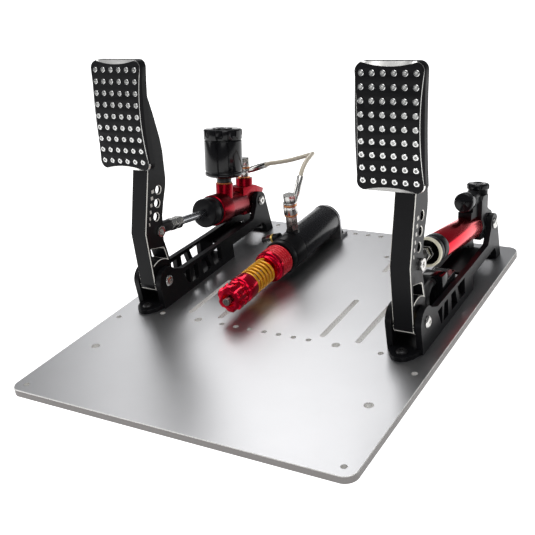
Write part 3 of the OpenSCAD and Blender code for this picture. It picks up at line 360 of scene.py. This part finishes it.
for side_name, middle in (("brake", -unit_x), ("throttle", unit_x)):
    machined(side_name + "_pad", 0.0003, pad_black, segments=2)
    upper = [in_pad(middle, x, z, 0.0002) for x, z in pad_outline(0.0009, pad_scallop)]
    lower = [in_pad(middle, x, z, slope_foot) for x, z in pad_outline(0.0001, 0)]
    inner = [in_pad(middle, x, z, slope_foot) for x, z in pad_outline(0.0009, pad_scallop)]
    line = []
    for edge, foot in zip(upper, lower):
        run = Vector(foot) - Vector(edge)
        line.append(tuple(Vector(edge) + run*min(0.9, bright_width/run.length)))
    n = len(upper)
    faces, bright = [], []
    for i in range(n):
        j = (i + 1) % n
        faces += [(i, j, n + j, n + i), (n + i, n + j, 2*n + j, 2*n + i),
                  (2*n + i, 2*n + j, 3*n + j, 3*n + i), (3*n + i, 3*n + j, j, i)]
        across = (i*4//n) % 2 == 1
        bright += [True, across, across, True]
    slope = solid_skin(side_name + "_pad_slope", upper + line + lower + inner, faces, 25)
    slope.data.materials.append(polished)
    slope.data.materials.append(pad_black)
    for polygon, lit in zip(slope.data.polygons, bright):
        polygon.material_index = 0 if lit else 1
    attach(slope, side_name + "_pedal")

# Grip studs and the pads' screws
# Headless steel screws that stand just proud of the face, with a hexagon socket in each.
stud_steel = metal_finish("Stud steel", (0.74, 0.74, 0.73), 0.22, grain=900, depth=0.02)
for node in ("brake_pad_studs", "throttle_pad_studs"):
    coat_node(node, stud_steel)
for node in ("brake_pad_screws", "throttle_pad_screws"):
    machined(node, 0.0003, black_steel, segments=2)

# Push bolts, rod ends, balls, lock nuts and push rods
# A low-head bolt through the fork carries a ball in a black rod end; two hexagon nuts lock the rod.
rod_chrome = metal_finish("Chromed rod", (0.62, 0.63, 0.66), 0.24, grain=500, depth=0.003)
for side_name in ("brake", "throttle"):
    machined(side_name + "_push_bolt", 0.0004, zinc, segments=2)
    machined(side_name + "_rod_end", 0.0004, black_steel, segments=2)
    machined(side_name + "_rod_nuts", 0.0005, zinc, segments=2)
    coat_node(side_name + "_rod_ball", rod_chrome)
coat_node("brake_push_rod", rod_chrome)
coat_node("damper_rod", rod_chrome)

# Brake master cylinder
# A machined body anodised deep red, closed at the front by a black ribbed collar.
red_body = metal_finish("Deep red anodised", (0.27, 0.003, 0.012), 0.28, grain=1100, depth=0.01, patch=0.1)
machined("cylinder_body", 0.0007, red_body, segments=2)
machined("cylinder_boot", 0.0005, black_anodised, segments=2)
for node in ("cylinder_piston", "cylinder_spring"):
    coat_node(node, zinc)
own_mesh(frame["nodes"]["cylinder_spring"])

# Fluid reservoir
# A black moulded pot with a screwed lid, on a black stem over an orange seal.
gloss_black = metal_finish("Black moulded nylon", (0.005, 0.005, 0.006), 0.14, metal=0.0, grain=700,
                           depth=0.02, mirror=0.3)
orange_rubber = metal_finish("Orange seal", (0.62, 0.16, 0.03), 0.55, metal=0.0, grain=900, depth=0.1)
machined("reservoir", 0.0006, gloss_black, segments=2)
machined("reservoir_cap", 0.0006, gloss_black, segments=2)
machined("reservoir_adapter", 0.0004, black_steel, segments=2)
coat_node("reservoir_seal", orange_rubber)

# Banjo joints, hose ends and the inlet hex
# Zinc-plated banjo bolts between copper washers; the hose ends are plated rings with crimped ferrules.
copper = metal_finish("Soft copper", (0.72, 0.30, 0.13), 0.34, grain=900, depth=0.08)
dark_hex = metal_finish("Dark plated hex", (0.34, 0.31, 0.29), 0.26, grain=900, depth=0.02)
for node in ("cylinder_banjo_bolt", "slave_banjo_bolt", "cylinder_hose_end", "slave_hose_end"):
    machined(node, 0.0006, zinc, segments=2)
for node in ("cylinder_copper_washers", "slave_copper_washers"):
    machined(node, 0.0003, copper, segments=2)
machined("slave_adapter", 0.0006, dark_hex, segments=2)

# Slave cylinder
# A black anodised tube with a screwed front cap, held at its rear by a bent silver bracket.
slave_black = metal_finish("Black anodised tube", (0.007, 0.007, 0.009), 0.26, metal=0.0, grain=1200,
                           depth=0.02, patch=0.15, mirror=0.4)
machined("slave_body", 0.0005, slave_black, segments=2)
machined("slave_front_cap", 0.0006, black_anodised, segments=2)
machined("slave_bracket", 0.0006, blasted, bright_edge)
machined("slave_shaft", 0.0005, dark_hex, segments=2)
red_gloss = metal_finish("Bright red anodised", (0.80, 0.008, 0.04), 0.22, grain=900, depth=0.01,
                         patch=0.08)
machined("spring_spacer", 0.0005, red_gloss, segments=2)
machined("spring_cup", 0.0005, red_gloss, segments=2)
machined("preload_knob", 0.0008, red_gloss, segments=2)

# Bleeder
# A gold washer, a plated hex and a dark nipple, in line on the left of the front cap.
gold = metal_finish("Gold washer", (0.86, 0.60, 0.18), 0.30, grain=900, depth=0.04)
bleeder = machined("slave_bleeder", 0.0004, gold, segments=2)
bleeder.data.materials.append(zinc)
bleeder.data.materials.append(black_steel)
slave_x, slave_z = -0.0513, 0.0335
dip, seat_turn, seat_r = math.radians(15), math.radians(32.6), 0.0252
out = Vector((-math.cos(dip), 0, -math.sin(dip)))
seat = Vector((slave_x - seat_r*math.cos(seat_turn), 0.110, slave_z + seat_r*math.sin(seat_turn)))
washer_end, hex_end = 0.0031, 0.0101
for polygon in bleeder.data.polygons:
    along = (polygon.center - seat).dot(out)
    polygon.material_index = 0 if along < washer_end else 1 if along < hex_end else 2

# The two springs
# Round wire coiled evenly, enamelled yellow and red. Each flattens a little as the brake is pressed.
yellow_enamel = metal_finish("Yellow enamel", (1.0, 0.45, 0.008), 0.24, metal=0.45, grain=500,
                             depth=0.005, coat=0.6)
red_enamel = metal_finish("Red enamel", (0.85, 0.012, 0.03), 0.26, metal=0.3, grain=500, depth=0.005,
                          coat=0.4)


def wound_spring(name, front, back, outer, wire, turns, finish):
    """Round wire coiled evenly round the slave's axis, from its front end to its back end"""
    per, around = 40, 14
    steps = int(turns*per)
    rows, faces = [], []
    rise = (back - front - wire)/(2*math.pi*turns)
    for i in range(steps + 1):
        a = 2*math.pi*turns*i/steps
        mid_r = outer - wire/2
        out = Vector((math.sin(a), 0, math.cos(a)))
        centre = Vector((slave_x, front + wire/2 + rise*a, slave_z)) + mid_r*out
        ahead = Vector((mid_r*math.cos(a), rise, -mid_r*math.sin(a))).normalized()
        across = ahead.cross(out)
        for k in range(around):
            b = 2*math.pi*k/around
            rows.append(centre + wire/2*(math.cos(b)*out + math.sin(b)*across))
    for i in range(steps):
        for k in range(around):
            m = (k + 1) % around
            faces.append((i*around + k, i*around + m, (i + 1)*around + m, (i + 1)*around + k))
    faces.append(tuple(range(around)))
    faces.append(tuple(steps*around + k for k in reversed(range(around))))
    coil = solid_skin(name, rows, faces, 50)
    coil.data.materials.append(finish)
    return coil


yellow = wound_spring("yellow_spring_wire", 0.0052, 0.0493, 0.016, 0.0038, 6, yellow_enamel)
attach(yellow, "spring_stage")
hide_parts("yellow_spring")
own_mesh(yellow)
red = wound_spring("red_spring_wire", 0.0602, 0.0828, 0.020, 0.0034, 4.5, red_enamel)
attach(red, "frame")
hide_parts("red_spring")
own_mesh(red)

# Throttle damper
# A red anodised tube between a black hollow head with a pale rim and a black rear block, which carries
# the adjuster and a knurled top cap.
pale_rim = metal_finish("Pale rim", (0.78, 0.74, 0.58), 0.38, metal=0.0, grain=800, depth=0.05)
tube_red = metal_finish("Gloss red anodised tube", (0.85, 0.008, 0.03), 0.20, grain=900, depth=0.01,
                        patch=0.05)
machined("damper_tube", 0.0003, tube_red, segments=2)
machined("damper_head", 0.0005, black_anodised, segments=2)
machined("damper_rim", 0.0004, pale_rim, segments=2)
machined("damper_block", 0.0008, black_anodised, segments=2)
machined("damper_cap", 0.0007, gloss_black, segments=2)
machined("damper_knob", 0.0006, gloss_black, segments=2)
coat_node("damper_spring", zinc)
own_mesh(frame["nodes"]["damper_spring"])

# Position sensor
# A moulded black box in the throttle's channel, with its leads in a corrugated sleeve.
sleeve = metal_finish("Corrugated sleeve", (0.02, 0.02, 0.021), 0.5, metal=0.0, grain=900, depth=0.1)
machined("sensor_box", 0.0008, gloss_black, segments=2)
coat_node("sensor_lead", sleeve)

# Brake hose
# Steel braid under a clear cover, which reads as cream. It leaves the master cylinder's ferrule to the
# right, climbs over and comes down into the slave's ferrule.
hose_radius, braid_repeat = 0.0029, 0.0182
hose_route = [Vector(p) for p in (
    (-0.13009, 0.20141, 0.11108), (-0.12349, 0.20231, 0.11322), (-0.114, 0.2033, 0.1146),
    (-0.096, 0.2085, 0.1173), (-0.080, 0.2115, 0.1215), (-0.068, 0.2095, 0.1255), (-0.0605, 0.206, 0.1287),
    (-0.055, 0.199, 0.1318), (-0.052, 0.187, 0.1328), (-0.051, 0.175, 0.131), (-0.051, 0.167, 0.1276),
    (-0.0513, 0.15984, 0.1217), (-0.0513, 0.15548, 0.11622))]
line, between = [], 12
for i in range(len(hose_route) - 1):
    p0, p1 = hose_route[max(i - 1, 0)], hose_route[i]
    p2, p3 = hose_route[i + 1], hose_route[min(i + 2, len(hose_route) - 1)]
    for k in range(between):
        t = k/between
        line.append(0.5*(2*p1 + (p2 - p0)*t + (2*p0 - 5*p1 + 4*p2 - p3)*t*t
                         + (3*p1 - p0 - 3*p2 + p3)*t**3))
line.append(hose_route[-1])
around = 28
rows, faces = [], []
for i, point in enumerate(line):
    ahead = (line[min(i + 1, len(line) - 1)] - line[max(i - 1, 0)]).normalized()
    flat = ahead.cross(Vector((0, 0, 1))).normalized()
    lift = flat.cross(ahead)
    for k in range(around):
        a = 2*math.pi*k/around
        rows.append(point + hose_radius*(math.cos(a)*flat + math.sin(a)*lift))
for i in range(len(line) - 1):
    for k in range(around):
        m = (k + 1) % around
        faces.append((i*around + k, (i + 1)*around + k, (i + 1)*around + m, i*around + m))
faces.append(tuple(range(around)))
faces.append(tuple((len(line) - 1)*around + k for k in reversed(range(around))))
hose = solid_skin("brake_hose_braid", rows, faces, 40)
reach = [0.0]
for i in range(1, len(line)):
    reach.append(reach[-1] + (line[i] - line[i - 1]).length)
wrap = hose.data.uv_layers.new(name="Braid")
for polygon in hose.data.polygons:
    turns = [(v % around)/around for v in polygon.vertices]
    seam = max(turns) - min(turns) > 0.5 and len(polygon.vertices) == 4
    for corner, v in zip(polygon.loop_indices, polygon.vertices):
        share = (v % around)/around
        lap = 1 if seam and share < 0.5 else 0
        wrap.data[corner].uv = (reach[v//around]/braid_repeat, share + lap)

braid = bpy.data.materials.new("Braid under clear cover")
braid.use_nodes = True
nodes, links = braid.node_tree.nodes, braid.node_tree.links
shader = nodes["Principled BSDF"]
shader.inputs["Roughness"].default_value = 0.38
shader.inputs["Metallic"].default_value = 0.15
shader.inputs["Coat Weight"].default_value = 0.5
shader.inputs["Coat Roughness"].default_value = 0.15
weave_place = nodes.new("ShaderNodeUVMap")
weave_place.uv_map = "Braid"
diagonal = nodes.new("ShaderNodeMapping")
diagonal.inputs["Rotation"].default_value = (0, 0, math.radians(45))
links.new(weave_place.outputs["UV"], diagonal.inputs["Vector"])
strands = nodes.new("ShaderNodeTexChecker")
strands.inputs["Scale"].default_value = 12*math.sqrt(2)
strands.inputs["Color1"].default_value = (0.80, 0.73, 0.60, 1)
strands.inputs["Color2"].default_value = (0.62, 0.54, 0.42, 1)
links.new(diagonal.outputs["Vector"], strands.inputs["Vector"])
links.new(strands.outputs["Color"], shader.inputs["Base Color"])
relief = nodes.new("ShaderNodeBump")
relief.inputs["Strength"].default_value = 0.35
relief.inputs["Distance"].default_value = 0.0002
links.new(strands.outputs["Fac"], relief.inputs["Height"])
links.new(relief.outputs["Normal"], shader.inputs["Normal"])
hose.data.materials.append(braid)
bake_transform(hose)
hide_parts("brake_hose")
